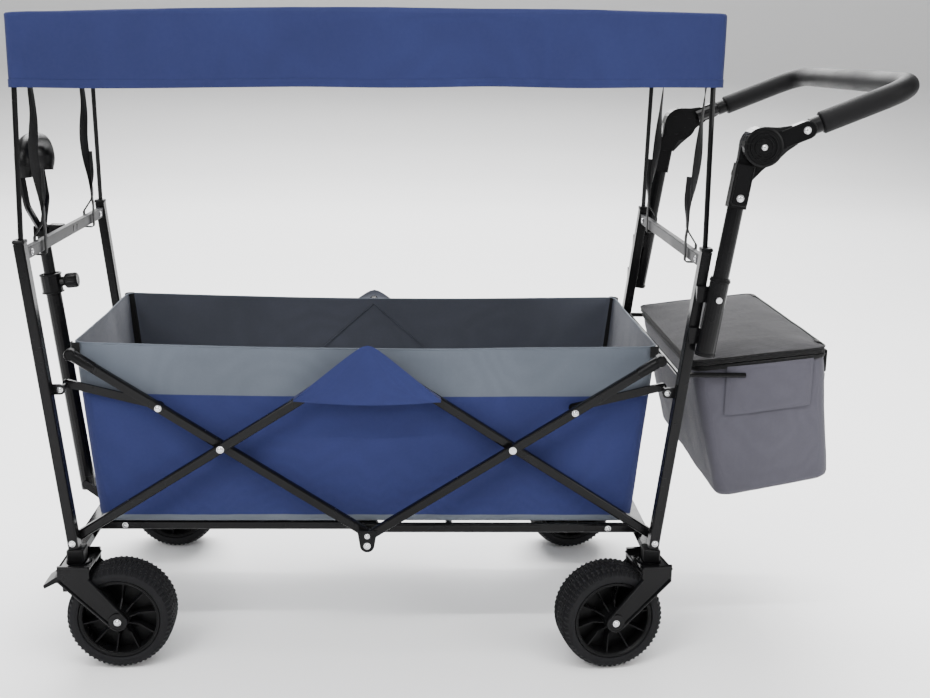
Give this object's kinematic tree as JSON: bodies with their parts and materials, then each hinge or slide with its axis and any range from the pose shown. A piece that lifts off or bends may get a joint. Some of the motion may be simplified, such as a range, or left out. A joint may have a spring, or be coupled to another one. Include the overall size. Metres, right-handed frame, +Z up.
{
  "type": "folding pull wagon",
  "caption": "Folding four-wheel fabric wagon for children with a scissor frame, canopy, pull handle, push handle and rear bag.",
  "frame": {"origin": "middle of the whole footprint, on the ground", "axes": "+X from the pull handle to the push handle, +Z up, +Y to the far side"},
  "size_m": [1.3798, 0.6102, 1.0052],
  "materials": {
    "powder_coat": "glossy black powder coat",
    "grey_steel": "satin grey paint",
    "bare_steel": "polished zinc plate",
    "moulding": "fine moulded grain",
    "tread_rubber": "matte rubber",
    "foam": "matte foam",
    "canopy_blue": "coated polyester weave",
    "basket_blue": "coated polyester weave",
    "mat_grey": "quilted polyester weave",
    "bag_grey": "coated polyester weave",
    "lid_grey": "coated polyester weave",
    "webbing": "ribbed webbing",
    "band_grey": "coated polyester weave"
  },
  "bodies": {
    "front_end": {"front_post_near": "powder_coat", "front_post_far": "powder_coat", "front_upper_crossbar": "grey_steel", "front_lower_crossbar": "powder_coat", "corner_bracket_front_near": "moulding", "corner_bracket_front_far": "moulding", "fork_front_near": "powder_coat", "fork_front_far": "powder_coat", "basket_fabric": "basket_blue", "floor_mat": "mat_grey"},
    "rear_end": {"rear_post_near": "powder_coat", "rear_post_far": "powder_coat", "rear_upper_crossbar": "grey_steel", "rear_lower_crossbar": "powder_coat", "corner_bracket_rear_near": "moulding", "corner_bracket_rear_far": "moulding", "handle_socket_near": "powder_coat", "handle_socket_far": "powder_coat", "bag_bracket": "powder_coat", "bag_body": "bag_grey"},
    "front_rising_bars": {"front_rising_bar_near": "powder_coat", "front_rising_bar_far": "powder_coat"},
    "front_falling_bars": {"front_falling_bar_near": "powder_coat", "front_falling_bar_far": "powder_coat"},
    "rear_falling_bars": {"rear_falling_bar_near": "powder_coat", "rear_falling_bar_far": "powder_coat"},
    "rear_rising_bars": {"rear_rising_bar_near": "powder_coat", "rear_rising_bar_far": "powder_coat"},
    "front_links": {"front_link_near": "powder_coat", "front_link_far": "powder_coat"},
    "rear_links": {"rear_link_near": "powder_coat", "rear_link_far": "powder_coat"},
    "front_rails": {"front_floor_rails": "powder_coat"},
    "rear_rails": {"rear_floor_rails": "powder_coat"},
    "front_hoop": {"front_canopy_hoop": "powder_coat", "canopy_fabric": "canopy_blue"},
    "rear_hoop": {"rear_canopy_hoop": "powder_coat"},
    "pull_handle": {"pull_handle_tube": "powder_coat"},
    "pull_grip": {"pull_handle_inner": "powder_coat", "pull_handle_grip": "moulding"},
    "clamp_knob": {"clamp_knob": "moulding"},
    "push_tubes": {"handle_lower_near": "powder_coat", "handle_lower_far": "powder_coat"},
    "push_bar": {"push_handle_bar": "powder_coat", "push_handle_grip": "foam"},
    "button_near": {"height_button_near": "bare_steel"},
    "button_far": {"height_button_far": "bare_steel"},
    "bag_lid": {"bag_lid": "lid_grey"},
    "front_wheel_near": {"hub_front_near": "moulding", "tyre_front_near": "tread_rubber"},
    "rear_caster_near": {"fork_rear_near": "powder_coat"},
    "rear_wheel_near": {"hub_rear_near": "moulding", "tyre_rear_near": "tread_rubber"},
    "brake_pedal_near": {"brake_pedal_near": "moulding"},
    "front_wheel_far": {"hub_front_far": "moulding", "tyre_front_far": "tread_rubber"},
    "rear_caster_far": {"fork_rear_far": "powder_coat"},
    "rear_wheel_far": {"hub_rear_far": "moulding", "tyre_rear_far": "tread_rubber"},
    "brake_pedal_far": {"brake_pedal_far": "moulding"}
  },
  "joints": [
    {"name": "fold", "type": "hinge", "parent": "front_end", "child": "front_rising_bars", "pos_m": [-0.5652, 0.0016, 0.2], "axis": [0, -1, 0], "range_deg": [0, 40.41], "deforming": ["basket_fabric", "floor_mat", "canopy_fabric"]},
    {"name": "front_cross", "type": "hinge", "parent": "front_rising_bars", "child": "front_falling_bars", "pos_m": [-0.3407, 0.0016, 0.3435], "axis": [0, -1, 0], "range_deg": [-81.02, 0]},
    {"name": "top_middle", "type": "hinge", "parent": "front_rising_bars", "child": "rear_falling_bars", "pos_m": [-0.1162, 0.0016, 0.487], "axis": [0, -1, 0], "range_deg": [-81.02, 0]},
    {"name": "rear_cross", "type": "hinge", "parent": "rear_falling_bars", "child": "rear_rising_bars", "pos_m": [0.1083, 0.0016, 0.3435], "axis": [0, -1, 0], "range_deg": [0, 81.02]},
    {"name": "rear_corner", "type": "hinge", "parent": "rear_falling_bars", "child": "rear_end", "pos_m": [0.3328, 0.0016, 0.2], "axis": [0, -1, 0], "range_deg": [0, 40.61]},
    {"name": "front_link_hinge", "type": "hinge", "parent": "front_end", "child": "front_links", "pos_m": [-0.5756, 0.0016, 0.4387], "axis": [0, -1, 0], "range_deg": [0, 79.93]},
    {"name": "rear_link_hinge", "type": "hinge", "parent": "rear_end", "child": "rear_links", "pos_m": [0.3432, 0.0016, 0.4387], "axis": [0, -1, 0], "range_deg": [-79.93, 0]},
    {"name": "front_rail_hinge", "type": "hinge", "parent": "front_end", "child": "front_rails", "pos_m": [-0.5462, 0.0016, 0.2], "axis": [0, -1, 0], "range_deg": [0, 71.64]},
    {"name": "rear_rail_hinge", "type": "hinge", "parent": "rear_end", "child": "rear_rails", "pos_m": [0.3138, 0.0016, 0.2], "axis": [0, -1, 0], "range_deg": [-71.64, 0]},
    {"name": "canopy_lift", "type": "slide", "parent": "front_end", "child": "front_hoop", "axis": [0, 0, 1], "range_m": [0, 0.022]},
    {"name": "rear_hoop_lift", "type": "slide", "parent": "rear_end", "child": "rear_hoop", "axis": [0, 0, 1], "range_m": [0, 0.022]},
    {"name": "pull_handle_swing", "type": "hinge", "parent": "front_end", "child": "pull_handle", "pos_m": [-0.6032, 0.0016, 0.208], "axis": [0, -1, 0], "range_deg": [0, 80]},
    {"name": "pull_handle_extend", "type": "slide", "parent": "pull_handle", "child": "pull_grip", "axis": [-0.1236, 0, 0.9923], "range_m": [0, 0.2]},
    {"name": "clamp_knob_turn", "type": "hinge", "parent": "pull_handle", "child": "clamp_knob", "pos_m": [-0.62455, 0.0016, 0.55905], "axis": [0.9923, 0, 0.1236], "range_deg": [0, 180]},
    {"name": "push_handle_height", "type": "slide", "parent": "rear_end", "child": "push_tubes", "axis": [0.1444, 0, 0.9895], "range_m": [-0.1, 0.05]},
    {"name": "push_handle_tilt", "type": "hinge", "parent": "push_tubes", "child": "push_bar", "pos_m": [0.4518, 0.0016, 0.818], "axis": [0, -1, 0], "range_deg": [-60, 55]},
    {"name": "bag_lid_hinge", "type": "hinge", "parent": "rear_end", "child": "bag_lid", "pos_m": [0.38211, 0.0016, 0.48401], "axis": [0, -1, 0], "range_deg": [0, 70]},
    {"name": "height_button_near_press", "type": "slide", "parent": "rear_end", "child": "button_near", "axis": [0, 1, 0], "range_m": [0, 0.0022], "stiffness_N_per_m": 800},
    {"name": "brake_pedal_near_press", "type": "hinge", "parent": "front_end", "child": "brake_pedal_near", "pos_m": [-0.5782, -0.2484, 0.148], "axis": [0, -1, 0], "range_deg": [0, 25]},
    {"name": "front_wheel_near_spin", "type": "hinge", "parent": "front_end", "child": "front_wheel_near", "pos_m": [-0.4962, -0.2484, 0.082], "axis": [0, 1, 0], "continuous": true},
    {"name": "rear_caster_near_swivel", "type": "hinge", "parent": "rear_end", "child": "rear_caster_near", "pos_m": [0.3278, -0.2484, 0.165], "axis": [0, 0, 1], "continuous": true},
    {"name": "rear_wheel_near_spin", "type": "hinge", "parent": "rear_caster_near", "child": "rear_wheel_near", "pos_m": [0.26459, -0.25841, 0.082], "axis": [-0.1564, 0.9877, 0], "continuous": true},
    {"name": "height_button_far_press", "type": "slide", "parent": "rear_end", "child": "button_far", "axis": [0, -1, 0], "range_m": [0, 0.0022], "stiffness_N_per_m": 800},
    {"name": "brake_pedal_far_press", "type": "hinge", "parent": "front_end", "child": "brake_pedal_far", "pos_m": [-0.5782, 0.2516, 0.148], "axis": [0, -1, 0], "range_deg": [0, 25]},
    {"name": "front_wheel_far_spin", "type": "hinge", "parent": "front_end", "child": "front_wheel_far", "pos_m": [-0.4962, 0.2516, 0.082], "axis": [0, 1, 0], "continuous": true},
    {"name": "rear_caster_far_swivel", "type": "hinge", "parent": "rear_end", "child": "rear_caster_far", "pos_m": [0.3278, 0.2516, 0.165], "axis": [0, 0, 1], "continuous": true},
    {"name": "rear_wheel_far_spin", "type": "hinge", "parent": "rear_caster_far", "child": "rear_wheel_far", "pos_m": [0.26404, 0.24602, 0.082], "axis": [-0.0872, 0.9962, 0], "continuous": true}
  ],
  "couplings": [
    {"joint": "front_cross", "follows": "fold", "ratio": -2},
    {"joint": "top_middle", "follows": "fold", "ratio": -2},
    {"joint": "rear_cross", "follows": "fold", "ratio": 2},
    {"joint": "rear_corner", "follows": "fold", "ratio": 1},
    {"joint": "front_link_hinge", "follows": "fold", "ratio": 1.973},
    {"joint": "rear_link_hinge", "follows": "fold", "ratio": -1.973},
    {"joint": "front_rail_hinge", "follows": "fold", "ratio": 1.768},
    {"joint": "rear_rail_hinge", "follows": "fold", "ratio": -1.768},
    {"joint": "rear_hoop_lift", "follows": "canopy_lift", "ratio": 1}
  ]
}
